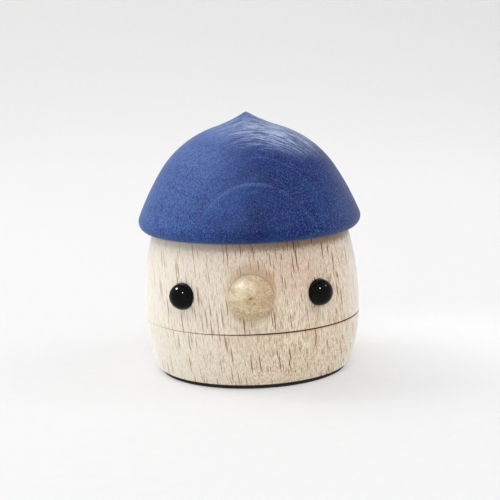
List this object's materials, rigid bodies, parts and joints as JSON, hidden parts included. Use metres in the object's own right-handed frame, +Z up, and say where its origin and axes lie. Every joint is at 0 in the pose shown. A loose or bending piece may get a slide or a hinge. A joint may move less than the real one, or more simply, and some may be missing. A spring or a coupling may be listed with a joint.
{
  "type": "wooden acorn figure box",
  "caption": "Small turned wooden acorn figure that opens: a cup, a lift-off upper body, a stained pointed cap, a ball nose and bead eyes.",
  "frame": {"origin": "centre of the pad's resting face, on the turning axis", "axes": "+Z up along the turning axis, the face looks along -Y, +X is at the right hand of someone facing it"},
  "size_m": [0.052, 0.0559, 0.06],
  "materials": {
    "pad": "matte near-black sheet",
    "beech": "fine-sanded bare beech with short ray flecks",
    "blue_stained_wood": "water-stained blue, faint growth rings, soft satin",
    "nose_wood": "fine-sanded bare wood, end grain outward",
    "eye_black": "polished black"
  },
  "bodies": {
    "cup": {"base_pad": "pad", "lower_cup": "beech"},
    "lid": {"upper_body": "beech", "cap": "blue_stained_wood", "cap_dowel": "beech", "nose": "nose_wood", "eye_left": "eye_black", "eye_right": "eye_black"}
  },
  "joints": [
    {"name": "lid_lift", "type": "slide", "parent": "cup", "child": "lid", "axis": [0, 0, 1], "range_m": [0, 0.04]}
  ]
}
